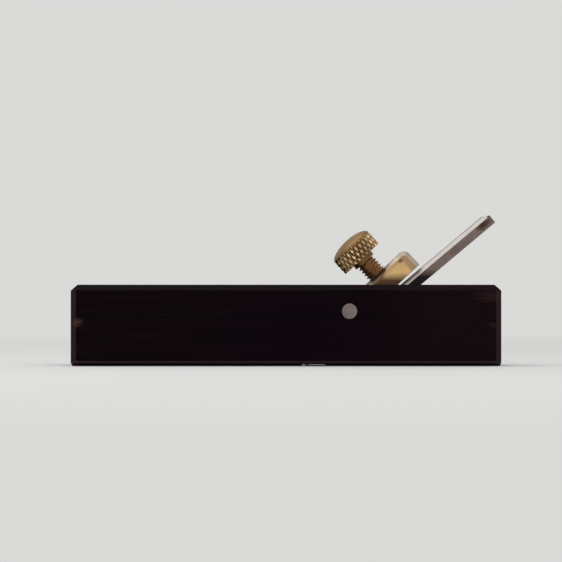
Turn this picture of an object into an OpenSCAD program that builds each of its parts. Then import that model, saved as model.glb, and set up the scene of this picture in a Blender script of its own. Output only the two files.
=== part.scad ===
// Round plane with a convex sole, a thick iron, a brass lever cap on a cross pin and a thumb screw.
// The toe points to -X, the heel to +X, and +Z is up. The origin is the middle of the sole's lowest line.

/* [Body] */
// Length from toe to heel
body_length = 165; // [150:1:200]
// Width over both cheeks
body_width = 24; // [20:0.5:32]
// Height at the middle of the sole
body_height = 31.2; // [29:0.2:34]
// Width of the mortise between the cheeks
mortise_width = 13; // [12.8:0.1:16]
// Radius of the convex sole
sole_radius = 38; // [30:1:80]
// Chamfer on the long top edges and the upright corners
edge_chamfer = 2.1; // [0.5:0.1:3]
// Cut of the top end edges, measured along the body
end_cut_length = 2.6; // [0.5:0.1:4]
// Cut of the top end edges, measured down the ends
end_cut_height = 2.3; // [0.5:0.1:4]

/* [Bed and throat] */
// Slope of the bed that carries the iron, in degrees
bed_angle = 40; // [38:0.5:42]
// Distance of the cutting edge behind the middle of the body
edge_x = 7.24; // [4:0.02:12]
// Height of the stored cutting edge above the sole's lowest line
edge_rise = 0.02; // [0:0.01:0.1]
// Gap of the mouth in front of the cutting edge
mouth_gap = 1.0; // [0.8:0.1:2]
// Height of the steep wear above the mouth
wear_height = 5; // [3:0.5:8]
// Slope of the wear, in degrees
wear_angle = 80; // [75:1:85]
// Slope of the throat's front wall above the wear, in degrees
throat_angle = 60; // [55:1:70]

/* [Iron] */
// Length from the cutting edge to the top end
iron_length = 91.6; // [85:0.2:95]
// Width
iron_width = 12.7; // [11:0.1:12.8]
// Thickness
iron_thickness = 4.8; // [4:0.1:5.5]
// Angle ground on the underside at the cutting edge, in degrees
bevel_angle = 28; // [25:1:32]
// Chamfer on the long upper edges and the end corners
iron_chamfer = 1.5; // [0.5:0.1:2]
// Distance from the cutting edge to where the long chamfers start
chamfer_start = 44; // [40:1:50]
// Cut of the top end's upper edge, measured along the iron
end_slope_length = 2.25; // [0.5:0.05:3]
// Cut of the top end's upper edge, measured down the end
end_slope_height = 1.35; // [0.5:0.05:2]

/* [Cross pin] */
// Diameter of the pin
pin_diameter = 6; // [5:0.1:6.2]
// Distance of the pin from the cutting edge, measured along the iron
pin_along = 26.6; // [25:0.1:28]
// Height of the pin's axis above the iron's upper face
pin_lift = 5.15; // [5.1:0.01:5.4]

/* [Lever cap] */
// Width
cap_width = 12.4; // [11:0.1:12.6]
// Slope of the lever cap above the iron, in degrees
cap_slope = 3; // [2.6:0.1:3.4]
// Distance from the pin to the tail end
tail_length = 32; // [29:0.5:35]
// Thickness of the tail
tail_thickness = 8.3; // [8:0.1:8.4]
// Height of the tail's upper face above the pin's axis
tail_top = 3.0; // [2.9:0.05:3.2]
// Distance from the pin to the toe's tip
toe_length = 17.5; // [17:0.1:18]
// Radius of the boss round the pin
boss_radius = 4.8; // [4.4:0.1:4.9]
// Radius of the tail's upper corner
tail_corner = 2.6; // [1.6:0.1:3]
// Chamfer along the tail's upper and end edges
cap_chamfer = 1.4; // [0.5:0.1:1.5]
// Distance from the pin to the thumb screw's axis
screw_along = 17.5; // [16:0.1:19]

/* [Thumb screw] */
// Outer diameter of the thread
thread_diameter = 7.94; // [7:0.02:8]
// Pitch of the thread
thread_pitch = 1.411; // [1:0.001:1.6]
// Depth of the thread
thread_depth = 0.8; // [0.4:0.05:0.9]
// Diameter of the knob
knob_diameter = 17.7; // [15:0.1:20]
// Height of the knob's knurled band
band_height = 5.8; // [5:0.1:7]
// Height of the knob's domed top above the band
dome_height = 3.4; // [2:0.1:5]
// Distance from the lever cap's upper face to the knob's underside
knob_gap = 8.3; // [6:0.1:10]
// Length of the plain collar under the knob
collar_length = 1.7; // [1:0.1:3]
// Diameter of the plain collar under the knob
collar_diameter = 9; // [8.4:0.1:10]
// Distance of the resting tip from the iron, measured on the screw's axis
tip_lift = 1.0; // [0.95:0.05:1.2]

/* [Fits] */
// Clearance between surfaces that slide on or rest against each other
rest_clearance = 0.03; // [0.02:0.01:0.05]
// Radial clearance of a pin or shaft in its bore
bore_clearance = 0.06; // [0.03:0.01:0.1]

/* [Hidden] */
$fn = 96;

ebony = "#231619";
bright_steel = "#8d8a8c";
brass = "#b98f45";

// Cutting tools reach this far past what they cut
past = 2;

// Sole is planed round in narrow flats, each turned this many degrees from the next
sole_flat_angle = 1.8;

cheek_thickness = (body_width - mortise_width) / 2;
cheek_centre = (body_width + mortise_width) / 4;
pin_radius = pin_diameter / 2;

// Iron's bevel follows the sole, so it is part of a wide cylinder that lies along the bevel
bevel_radius = sole_radius * sin(bed_angle) / sin(bevel_angle);

// Points of the throat's front wall
mouth_x = edge_x - mouth_gap;
wear_top_x = mouth_x - wear_height / tan(wear_angle);
throat_top_x = wear_top_x - (body_height - wear_height) / tan(throat_angle);

// Lever cap's tail starts this far from the pin's axis, and its underside lies this high
tail_start = 8;
tail_bottom = tail_top - tail_thickness;
// Web between the boss and the tail runs this far into each
web_overlap = 0.5;
boss_overlap = 0.2;
// Toe bears on a narrow land, behind which the underside is hollow
land_length = 1.6;
hollow_depth = 0.7;
// Toe's blunt tip, and the slope from there up to the boss in degrees
nose_height = 0.9;
nose_slope = 24;

// Thumb screw's tip and the knob's underside, as heights in the lever cap's frame
tip_z = iron_below(screw_along) + tip_lift;
knob_z = tail_top + knob_gap;
shank_length = knob_z - tip_z;
// Thread: each turn's section, as shares of the pitch and of the thread's depth
thread_radius = thread_diameter / 2;
thread_form = [[0.06, 0], [0.44, 1], [0.56, 1], [0.94, 0]];
// Plain tapered tip
tip_radius = 2.5;
tip_height = 0.9;
// Plain spigot that fixes the shank in the knob
spigot_radius = 3;
spigot_length = 3.4;
// Knob, with a small chamfer round its underside and a dome whose side is drawn in short steps
knob_radius = knob_diameter / 2;
knob_edge = 0.3;
dome_steps = 18;

// Height of the iron's upper face in the lever cap's frame, at a distance from the pin
function iron_below(along) = -pin_lift / cos(cap_slope) - along * tan(cap_slope);

// Turns the X-Z drawing of a piece into a solid that is centred on the body's middle plane
module from_the_side(width) {
    rotate([90, 0, 0])
        linear_extrude(width, center = true)
            children();
}

// Frame of the bed: the cutting edge is its origin, X runs up the iron and Z stands on its upper face
module on_the_bed() {
    translate([edge_x, 0, edge_rise])
        rotate([0, -bed_angle, 0])
            children();
}

// Frame of the lever cap: the pin's axis is its origin and X runs along the tail
module on_the_pin() {
    on_the_bed()
        translate([pin_along, 0, pin_lift])
            rotate([0, -cap_slope, 0])
                children();
}

// Frame of the thumb screw: Z runs out of the lever cap along the screw's axis
module on_the_screw(height) {
    on_the_pin()
        translate([screw_along, 0, height])
            children();
}

// Cross-section that rounds the sole: flats that touch its arc from outside, the middle one level at Z = 0
module sole_section() {
    corner_radius = sole_radius / cos(sole_flat_angle / 2);
    flats_each_side = ceil(asin(body_width / 2 / sole_radius) / sole_flat_angle);
    edge_y = corner_radius * sin((flats_each_side + 0.5) * sole_flat_angle);
    polygon([
        for (flat = [-flats_each_side - 1:flats_each_side])
            let (angle = (flat + 0.5) * sole_flat_angle)
                [corner_radius * sin(angle), sole_radius - corner_radius * cos(angle)],
        [edge_y, body_height + past],
        [-edge_y, body_height + past]
    ]);
}

// Outer shape of the glued body, before the throat is left open
module body_shape() {
    half_length = body_length / 2;
    half_width = body_width / 2;
    intersection() {
        from_the_side(body_width)
            polygon([
                [-half_length, -past],
                [half_length, -past],
                [half_length, body_height - end_cut_height],
                [half_length - end_cut_length, body_height],
                [-half_length + end_cut_length, body_height],
                [-half_length, body_height - end_cut_height]
            ]);
        rotate([90, 0, 90])
            linear_extrude(body_length + past, center = true)
                polygon([
                    [-half_width - past, -past],
                    [half_width + past, -past],
                    [half_width + past, body_height - edge_chamfer - past],
                    [half_width - edge_chamfer, body_height],
                    [-half_width + edge_chamfer, body_height],
                    [-half_width - past, body_height - edge_chamfer - past]
                ]);
        translate([0, 0, -past])
            linear_extrude(body_height + 2 * past)
                polygon([
                    [-half_length - past, -half_width + edge_chamfer + past],
                    [-half_length + edge_chamfer, -half_width],
                    [half_length - edge_chamfer, -half_width],
                    [half_length + past, -half_width + edge_chamfer + past],
                    [half_length + past, half_width - edge_chamfer - past],
                    [half_length - edge_chamfer, half_width],
                    [-half_length + edge_chamfer, half_width],
                    [-half_length - past, half_width - edge_chamfer - past]
                ]);
        rotate([90, 0, 90])
            linear_extrude(body_length + past, center = true)
                sole_section();
    }
}

// One cheek: side is -1 for the left and 1 for the right
module cheek(side) {
    color(ebony)
        difference() {
            intersection() {
                body_shape();
                translate([0, side * cheek_centre, body_height / 2])
                    cube([body_length + past, cheek_thickness, body_height + 2 * past], center = true);
            }
            pin_hole();
        }
}

module left_cheek() {
    cheek(-1);
}

module right_cheek() {
    cheek(1);
}

// Hole for the pin across the whole body
module pin_hole() {
    on_the_pin()
        rotate([90, 0, 0])
            cylinder(r = pin_radius, h = body_width + past, center = true);
}

// Block in front of the mouth: its rear face is the wear and the throat's front wall
module front_block() {
    color(ebony)
        intersection() {
            body_shape();
            from_the_side(mortise_width)
                polygon([
                    [-body_length, -past],
                    [mouth_x + past / tan(wear_angle), -past],
                    [wear_top_x, wear_height],
                    [throat_top_x - past / tan(throat_angle), body_height + past],
                    [-body_length, body_height + past]
                ]);
        }
}

// Block behind the mouth: its front face is the bed of the iron
module rear_block() {
    bed_depth = iron_thickness + rest_clearance;
    color(ebony)
        intersection() {
            body_shape();
            on_the_bed()
                translate([-body_length / 2, -mortise_width / 2, -body_length - bed_depth])
                    cube([2 * body_length, mortise_width, body_length]);
        }
}

// Steel rod through both cheeks, cut flush with their faces
module cross_pin() {
    color(bright_steel)
        on_the_pin()
            rotate([90, 0, 0])
                cylinder(r = pin_radius, h = body_width, center = true);
}

// Plan of the iron with its two end corners cut, seen square to its face
module iron_plan() {
    half_width = iron_width / 2;
    polygon([
        [-past, -half_width],
        [iron_length - iron_chamfer, -half_width],
        [iron_length, -half_width + iron_chamfer],
        [iron_length, half_width - iron_chamfer],
        [iron_length - iron_chamfer, half_width],
        [-past, half_width]
    ]);
}

// Side of the iron with its sloping top end, before the bevel is ground
module iron_side() {
    polygon([
        [-past, -iron_thickness],
        [iron_length + past, -iron_thickness],
        [iron_length + past, -end_slope_height - past * end_slope_height / end_slope_length],
        [iron_length - end_slope_length, 0],
        [-past, 0]
    ]);
}

module iron() {
    chamfer_side = iron_chamfer * sqrt(2);
    color(bright_steel)
        on_the_bed()
            difference() {
                intersection() {
                    translate([0, 0, -iron_thickness - past])
                        linear_extrude(iron_thickness + 2 * past)
                            iron_plan();
                    from_the_side(iron_width + past)
                        iron_side();
                    translate([bevel_radius * sin(bevel_angle), 0, bevel_radius * cos(bevel_angle)])
                        rotate([0, 90 + bevel_angle, 0])
                            cylinder(r = bevel_radius, h = 3 * iron_length, center = true, $fn = 256);
                }
                for (side = [-1, 1])
                    translate([chamfer_start + iron_length / 2, side * iron_width / 2, 0])
                        rotate([45, 0, 0])
                            cube([iron_length, chamfer_side, chamfer_side], center = true);
            }
}

// Side of the tail with its upper and end edges drawn in by the inset
module tail_side(inset) {
    corner_x = tail_length - tail_corner;
    corner_z = tail_top - tail_corner;
    corner_radius = tail_corner - inset;
    polygon([
        [tail_start, tail_bottom],
        [tail_length - inset, tail_bottom],
        for (angle = [0:10:90])
            [corner_x + corner_radius * cos(angle), corner_z + corner_radius * sin(angle)],
        [tail_start, tail_top - inset]
    ]);
}

// Tail of the lever cap, chamfered along its upper and end edges
module tail() {
    hull() {
        from_the_side(cap_width)
            tail_side(cap_chamfer);
        from_the_side(cap_width - 2 * cap_chamfer)
            tail_side(0);
    }
}

// Side of the toe and of the web that joins it to the tail. The toe bears on the iron with a narrow land,
// and the underside is hollow from the land to the boss round the pin.
module toe_side() {
    toe_x = -toe_length;
    land_x = toe_x + land_length;
    hollow_x = land_x + hollow_depth;
    web_end = tail_start + web_overlap;
    polygon([
        [toe_x, iron_below(toe_x) + rest_clearance],
        [land_x, iron_below(land_x) + rest_clearance],
        [hollow_x, iron_below(hollow_x) + hollow_depth],
        [0, iron_below(0) + hollow_depth],
        [tail_start, tail_bottom],
        [web_end, tail_bottom + web_overlap],
        [web_end, tail_top - cap_chamfer - web_overlap],
        [tail_start, tail_top],
        [0, tail_top],
        [-boss_radius * sin(nose_slope), boss_radius * cos(nose_slope) - boss_overlap],
        [toe_x, iron_below(toe_x) + nose_height]
    ]);
}

module lever_cap() {
    color(brass)
        on_the_pin()
            difference() {
                union() {
                    tail();
                    rotate([90, 0, 0])
                        cylinder(r = boss_radius, h = cap_width, center = true);
                    from_the_side(cap_width)
                        toe_side();
                }
                rotate([90, 0, 0])
                    cylinder(r = pin_radius + bore_clearance, h = cap_width + past, center = true);
                translate([screw_along, 0, tail_bottom - past])
                    cylinder(r = thread_radius + bore_clearance, h = tail_thickness + 2 * past);
            }
}

// Half section of the threaded shank. The thread is drawn as rings of the real pitch and depth.
module shank_section() {
    root_radius = thread_radius - thread_depth;
    thread_top = shank_length - collar_length - rest_clearance;
    turns = floor((thread_top - tip_height) / thread_pitch);
    polygon([
        [0, 0],
        [tip_radius, 0],
        [root_radius, tip_height],
        for (turn = [0:turns - 1])
            for (step = thread_form)
                [root_radius + step[1] * thread_depth, tip_height + (turn + step[0]) * thread_pitch],
        [root_radius, thread_top],
        [spigot_radius, thread_top],
        [spigot_radius, shank_length + spigot_length],
        [0, shank_length + spigot_length]
    ]);
}

module thumb_screw_shank() {
    color(brass)
        on_the_screw(tip_z)
            rotate_extrude()
                shank_section();
}

// Half section of the knob: the plain collar, the knurled band and the low dome, which is half an ellipse
module knob_section() {
    collar_radius = collar_diameter / 2;
    polygon([
        [0, -collar_length],
        [collar_radius, -collar_length],
        [collar_radius, 0],
        [knob_radius - knob_edge, 0],
        [knob_radius, knob_edge],
        for (step = [0:dome_steps])
            let (angle = 90 * step / dome_steps)
                [knob_radius * cos(angle), band_height + dome_height * sin(angle)]
    ]);
}

module thumb_screw_knob() {
    color(brass)
        on_the_screw(knob_z)
            difference() {
                rotate_extrude()
                    knob_section();
                translate([0, 0, -collar_length - past])
                    cylinder(
                        r = spigot_radius + bore_clearance,
                        h = collar_length + past + spigot_length + 2 * bore_clearance
                    );
            }
}

left_cheek();
right_cheek();
front_block();
rear_block();
cross_pin();
iron();
lever_cap();
thumb_screw_shank();
thumb_screw_knob();
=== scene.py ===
# %% [markdown]
# A small round plane: a dark ebony body with a convex sole, a thick steel iron on a sloping bed,
# a brass lever cap on a cross pin, and a knurled thumb screw. The measured frame comes from the
# CAD model, so every piece below is made in metres where the frame says it lies, and nothing
# has to be fitted by eye afterwards.

# %% Load the measured frame
import math

import bmesh
import bpy
from mathutils import Matrix, Vector


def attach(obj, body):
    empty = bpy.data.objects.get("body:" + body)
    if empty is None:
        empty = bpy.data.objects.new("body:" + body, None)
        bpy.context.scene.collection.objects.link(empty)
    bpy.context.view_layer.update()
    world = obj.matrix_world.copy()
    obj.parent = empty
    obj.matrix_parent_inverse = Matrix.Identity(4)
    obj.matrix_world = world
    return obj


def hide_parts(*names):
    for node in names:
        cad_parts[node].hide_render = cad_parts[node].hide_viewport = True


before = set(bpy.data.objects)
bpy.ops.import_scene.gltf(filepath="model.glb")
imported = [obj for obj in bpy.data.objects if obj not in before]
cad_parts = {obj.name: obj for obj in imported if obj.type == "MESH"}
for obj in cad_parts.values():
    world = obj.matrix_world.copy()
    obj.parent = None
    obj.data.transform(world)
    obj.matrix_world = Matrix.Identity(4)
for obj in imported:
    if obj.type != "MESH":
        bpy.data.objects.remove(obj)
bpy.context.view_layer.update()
MM = 0.001

# %% [markdown]
# The photograph is a level side view with a square frame. A pixel in it stands for a fixed length
# at the plane of the body's side, so two small helpers turn pixels into places. Pixels are counted
# by their centres, from 0 to 561, so the middle of the frame is half a pixel short of 281. The camera
# could be orthographic, but a long lens from over a metre away keeps a little real perspective.

# %% Camera at the photograph's place
PHOTO_SIZE_PX = 562
MM_PER_PX = 0.3843
MIDDLE_OF_BODY_PX = 285.5
SOLE_LINE_PX = 365.4


def seen_x(px):
    """Place along the body of a column of the photograph."""
    return (px - MIDDLE_OF_BODY_PX) * MM_PER_PX * MM


def seen_z(px):
    """Height of a row of the photograph."""
    return (SOLE_LINE_PX - px) * MM_PER_PX * MM


VIEW_DISTANCE = 1.3
VIEW_DEPTH = -6 * MM
SENSOR_MM = 36
view_width = PHOTO_SIZE_PX * MM_PER_PX * MM
middle_px = (PHOTO_SIZE_PX - 1) / 2
view_centre = Vector((seen_x(middle_px), VIEW_DEPTH, seen_z(middle_px)))

camera_data = bpy.data.cameras.new("photo_camera")
camera_data.sensor_width = SENSOR_MM
camera_data.lens = SENSOR_MM * VIEW_DISTANCE / view_width
camera = bpy.data.objects.new("photo_camera", camera_data)
camera.location = view_centre + Vector((0, -VIEW_DISTANCE, 0))
camera.rotation_euler = (math.radians(90), 0, 0)
bpy.context.scene.collection.objects.link(camera)
bpy.context.scene.camera = camera
print("lens", round(camera_data.lens, 1), "mm at", round(VIEW_DISTANCE, 2), "m")

# %% [markdown]
# Each moving piece has its own slope. The iron lies on the bed, the lever cap slopes a little more,
# and the thumb screw stands square to the cap. It is easiest to draw each piece flat in its own
# small frame and to turn the finished points into place with one matrix.

# %% Frames of the bed, the lever cap and the thumb screw
EDGE_X, EDGE_Z = 7.24, 0.02
BED_ANGLE, CAP_SLOPE = 40, 3
PIN_ALONG, PIN_LIFT = 26.6, 5.15
SCREW_ALONG = 17.5


def slope_frame(parent, x, z, angle):
    """A frame at a place in its parent's, in mm, turned up by an angle about the Y axis."""
    return parent @ Matrix.Translation((x, 0, z)) @ Matrix.Rotation(-math.radians(angle), 4, "Y")


metres = Matrix.Scale(MM, 4)
on_the_bed = slope_frame(metres, EDGE_X, EDGE_Z, BED_ANGLE)
on_the_pin = slope_frame(on_the_bed, PIN_ALONG, PIN_LIFT, CAP_SLOPE)
on_the_screw = slope_frame(on_the_pin, SCREW_ALONG, 0, 0)
print("pin axis at", [round(v / MM, 2) for v in on_the_pin.translation])

# %% [markdown]
# The pieces are meshes built point by point, because plain primitives have no chamfers, thread or
# knurl. Three helpers do what the workshop does: one draws a row of equal sections out into a closed
# skin, one saws along a plane and closes the cut, and one turns a half section on a lathe.

# %% Skins and saw cuts
WELD = 1e-5


def loft(sections, closed_ends=True):
    """Skin over sections that all have the same number of points."""
    bm = bmesh.new()
    rings = [[bm.verts.new(point) for point in section] for section in sections]
    count = len(rings[0])
    for ring, following in zip(rings, rings[1:]):
        for i in range(count):
            j = (i + 1) % count
            bm.faces.new((ring[i], ring[j], following[j], following[i]))
    if closed_ends:
        bm.faces.new(reversed(rings[0]))
        bm.faces.new(rings[-1])
    bmesh.ops.recalc_face_normals(bm, faces=bm.faces)
    return bm


def saw(bm, point, outward):
    """Cuts away what lies outward of a plane and closes the cut."""
    geometry = bm.verts[:] + bm.edges[:] + bm.faces[:]
    cut = bmesh.ops.bisect_plane(bm, geom=geometry, dist=WELD, plane_co=point, plane_no=outward,
                                 clear_outer=True)
    edges = [e for e in cut["geom_cut"] if isinstance(e, bmesh.types.BMEdge)]
    bmesh.ops.edgenet_fill(bm, edges=edges)
    bmesh.ops.recalc_face_normals(bm, faces=bm.faces)


def lathe(half_section, sides):
    """Turned skin from (radius, height) points that start and end on the axis."""
    sections = []
    for i in range(sides):
        angle = 2 * math.pi * i / sides
        sections.append([(r * math.cos(angle), r * math.sin(angle), z) for r, z in half_section])
    bm = loft(sections + [sections[0]], closed_ends=False)
    bmesh.ops.remove_doubles(bm, verts=bm.verts, dist=WELD)
    bmesh.ops.recalc_face_normals(bm, faces=bm.faces)
    return bm


print("skin helpers ready, points weld within", WELD, "mm")

# %% [markdown]
# A finished skin becomes an object that rides on its CAD body. Real edges are never perfectly sharp,
# and the thin bright line that a broken edge catches is most of what makes metal look real, so a
# bevel rounds them. A face can be given a second finish by the way it looks or the place it is in.

# %% Pieces and broken edges
def as_object(name, bm, placed):
    """Object from a mesh that is drawn in its own frame."""
    bm.transform(placed)
    mesh = bpy.data.meshes.new(name)
    bm.to_mesh(mesh)
    bm.free()
    made = bpy.data.objects.new(name, mesh)
    bpy.context.scene.collection.objects.link(made)
    return made


def make_piece(name, bm, placed, body, node, finish):
    """A piece that rides on its CAD body and stands for its CAD node."""
    piece = as_object(name, bm, placed)
    piece.data.materials.append(finish)
    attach(piece, body)
    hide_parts(node)
    return piece


def cut_with(piece, bm, placed):
    """Takes a tool's shape out of a piece and drops the tool."""
    tool = as_object("tool", bm, placed)
    boolean = piece.modifiers.new("cut", "BOOLEAN")
    boolean.operation = "DIFFERENCE"
    boolean.solver = "EXACT"
    boolean.object = tool
    bpy.context.view_layer.update()
    settled = bpy.data.meshes.new_from_object(piece.evaluated_get(bpy.context.evaluated_depsgraph_get()))
    piece.modifiers.clear()
    settled.name = piece.name
    piece.data = settled
    bpy.data.objects.remove(tool)


def shade(piece, sharp_angle):
    """Smooth shading with sharp edges kept."""
    for face in piece.data.polygons:
        face.use_smooth = True
    piece.data.set_sharp_from_angle(angle=math.radians(sharp_angle))


def break_edges(piece, width, segments=2, angle=25, sharp_angle=40):
    """Rounds the sharp edges a little and shades the rest smooth."""
    bevel = piece.modifiers.new("broken edges", "BEVEL")
    bevel.width = width * MM
    bevel.segments = segments
    bevel.limit_method = "ANGLE"
    bevel.angle_limit = math.radians(angle)
    bevel.harden_normals = False
    shade(piece, sharp_angle)
    weighted = piece.modifiers.new("even faces", "WEIGHTED_NORMAL")
    weighted.keep_sharp = True


def second_finish(piece, finish, placed, wanted):
    """Gives a piece another finish where wanted(direction, place) is true in the piece's own frame."""
    piece.data.materials.append(finish)
    number = len(piece.data.materials) - 1
    to_place = placed.inverted()
    to_direction = placed.to_3x3().normalized().inverted()
    chosen = [face for face in piece.data.polygons
              if wanted(to_direction @ face.normal, to_place @ face.center)]
    for face in chosen:
        face.material_index = number
    print(finish.name, "on", len(chosen), "faces of", piece.name)


def report(piece):
    """Prints how large a piece's mesh is with its modifiers."""
    evaluated = piece.evaluated_get(bpy.context.evaluated_depsgraph_get())
    mesh = evaluated.to_mesh()
    print(piece.name, len(mesh.vertices), "points,", len(mesh.polygons), "faces")
    evaluated.to_mesh_clear()


print("piece helpers ready")

# %% [markdown]
# A small kit for nodes, so that a finish reads as a few lines of plain words. Each call makes one
# node, joins what feeds it and returns its output. The nodes could be set up by hand in the shader
# editor, but then the same noise would be wired again for every piece of wood and metal.

# %% Node helpers
class NodeKit:
    """Short calls for the nodes of a material or a world."""

    def __init__(self, tree):
        self.nodes = tree.nodes
        self.links = tree.links

    def join(self, source, target):
        self.links.new(source, target)

    def feed(self, value, socket):
        """Joins an output to a socket, or sets the socket to a plain value."""
        if isinstance(value, bpy.types.NodeSocket):
            self.join(value, socket)
        else:
            socket.default_value = value

    def between(self, source, low, high, to_low=0.0, to_high=1.0):
        node = self.nodes.new("ShaderNodeMapRange")
        for name, value in (("From Min", low), ("From Max", high), ("To Min", to_low), ("To Max", to_high)):
            node.inputs[name].default_value = value
        self.join(source, node.inputs["Value"])
        return node.outputs["Result"]

    def maths(self, operation, first, second):
        node = self.nodes.new("ShaderNodeMath")
        node.operation = operation
        self.feed(first, node.inputs[0])
        self.feed(second, node.inputs[1])
        return node.outputs["Value"]

    def length(self, vector):
        node = self.nodes.new("ShaderNodeVectorMath")
        node.operation = "LENGTH"
        self.join(vector, node.inputs[0])
        return node.outputs["Value"]

    def noise(self, place, scale, detail=4, roughness=0.55):
        node = self.nodes.new("ShaderNodeTexNoise")
        node.inputs["Scale"].default_value = scale
        node.inputs["Detail"].default_value = detail
        node.inputs["Roughness"].default_value = roughness
        self.join(place, node.inputs["Vector"])
        return node.outputs["Fac"]

    def ramp(self, source, *stops):
        node = self.nodes.new("ShaderNodeValToRGB")
        elements = node.color_ramp.elements
        while len(elements) < len(stops):
            elements.new(0.5)
        for element, (position, colour) in zip(elements, stops):
            element.position = position
            element.color = (*colour, 1)
        self.join(source, node.inputs["Fac"])
        return node.outputs["Color"]

    def mixed(self, amount, first, second):
        """The first colour where the amount is 0, and the second where it is 1."""
        node = self.nodes.new("ShaderNodeMix")
        node.data_type = "RGBA"
        self.feed(amount, node.inputs["Factor"])
        for name, value in (("A", first), ("B", second)):
            socket = next(s for s in node.inputs if s.name == name and s.type == "RGBA")
            self.feed((*value, 1) if isinstance(value, tuple) else value, socket)
        return next(s for s in node.outputs if s.type == "RGBA")

    def dents(self, height, strength, distance, under=None):
        node = self.nodes.new("ShaderNodeBump")
        node.inputs["Strength"].default_value = strength
        node.inputs["Distance"].default_value = distance
        self.join(height, node.inputs["Height"])
        if under is not None:
            self.join(under, node.inputs["Normal"])
        return node.outputs["Normal"]


print("node kit ready")

# %% [markdown]
# Each finish is a chain of noises that colour, roughen and dent the surface. The noises read the
# object coordinates, which are metres in the frame, so a scratch has the same size on every piece
# and stays put when the camera moves. Marks that sit at one place are found by their distance from it.

# %% Finishes
class Finish(NodeKit):
    """A material with a Principled shader, and the places on the surface that steer it."""

    def __init__(self, name):
        self.material = bpy.data.materials.new(name)
        self.material.use_nodes = True
        super().__init__(self.material.node_tree)
        self.shader = self.nodes["Principled BSDF"]
        self.place = self.nodes.new("ShaderNodeTexCoord").outputs["Object"]

    def seen_from(self, centre, sizes=(1, 1, 1), lean=0):
        """Place relative to a centre, along axes that lean up from the level, in units of the sizes."""
        mapping = self.nodes.new("ShaderNodeMapping")
        mapping.vector_type = "TEXTURE"
        mapping.inputs["Location"].default_value = centre
        mapping.inputs["Rotation"].default_value = (0, -math.radians(lean), 0)
        mapping.inputs["Scale"].default_value = sizes
        self.join(self.place, mapping.inputs["Vector"])
        return mapping.outputs["Vector"]

    def stretched(self, waves, lean=0, shift=(0, 0, 0)):
        """Place for a noise that is drawn out along one axis, by the waves per metre on each axis."""
        return self.seen_from(shift, [1 / w for w in waves], lean)

    def axis(self, letter, place=None):
        node = self.nodes.new("ShaderNodeSeparateXYZ")
        self.join(self.place if place is None else place, node.inputs["Vector"])
        return node.outputs[letter]

    def away_from(self, centre, reach, lean=0):
        """0 at a point and 1 at a distance from it, with a reach for each axis, in mm."""
        return self.length(self.seen_from(centre, [r * MM for r in reach], lean))

    def near(self, centre, reach, power=2.0, lean=0):
        """Fades from 1 at a point to 0 at a distance, with a reach for each axis, in mm."""
        return self.maths("POWER", self.between(self.away_from(centre, reach, lean), 0, 1, 1, 0), power)

    def from_axis(self, placed, lean):
        """Distance in metres from the Z axis of a leaning frame."""
        around = self.nodes.new("ShaderNodeVectorMath")
        around.operation = "MULTIPLY"
        self.join(self.seen_from(placed.translation, lean=lean), around.inputs[0])
        around.inputs[1].default_value = (1, 1, 0)
        return self.length(around.outputs["Vector"])

    def give(self, **sockets):
        """Feeds or sets the shader's sockets by name, with underscores for spaces."""
        for name, value in sockets.items():
            self.feed(value, self.shader.inputs[name.replace("_", " ")])


print("finish kit ready")

# %% [markdown]
# Ebony is almost black, but not evenly so. The photograph shows fine grain along the body, a darker
# and more purple middle, a warmer heel end, a brown sapwood streak in the heel's top corner and a
# brown fleck on the toe's edge. One flat black would look like plastic. Noise that is stretched along
# the body gives the grain, and soft patches at the measured places give the rest. The chamfers and
# the sole are paler, partly from wear and partly as painted light that these faces catch, so the
# same wood is made in four strengths.

# %% Ebony
HALF_WIDTH = 12.0
STREAK_PX = (489, 296)
TOE_FLECK_PX = (77.5, 322)
HEEL_FLECK_PX = (492, 324.5)
PURPLE_PX = (300, 335)
PURPLE_REACH = (42, 60, 26)
WARM_FROM_PX, WARM_TO_PX = 375, 430
GRAIN_WAVES, STREAK_WAVES = (9, 260, 420), (2.2, 60, 95)
LINE_WAVES, PORE_WAVES = (14, 300, 900), (30, 1500, 1500)
GRAIN_TONES = (
    (0.30, (0.0012, 0.0002, 0.0008)),
    (0.52, (0.0038, 0.0010, 0.0022)),
    (0.78, (0.0140, 0.0056, 0.0076)),
)
STREAK_TONE = (0.0056, 0.0014, 0.0026)
WARM_TONE = (0.0092, 0.0030, 0.0060)
PURPLE_TONE = (0.0026, 0.0001, 0.0042)
PALE_SPOTS = (
    (STREAK_PX, (9, 7, 2.6), (0.046, 0.022, 0.018)),
    (TOE_FLECK_PX, (2.6, 3, 2.0), (0.13, 0.060, 0.042)),
    (HEEL_FLECK_PX, (2.6, 3, 1.0), (0.06, 0.034, 0.026)),
)
GRAIN_DEPTH, PORE_DEPTH = 0.10 * MM, 0.05 * MM
WOOD_SHEEN = 0.035
# Tint for the paler copies of the wood: partly wear, partly painted light on the faces that catch it.
LIT_AND_WORN_TINT = (1.0, 0.56, 0.60)


def near_side(px, depth=-HALF_WIDTH):
    """Place on the body's near side, or at another depth in mm, of a point of the photograph."""
    return (seen_x(px[0]), depth * MM, seen_z(px[1]))


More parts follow.
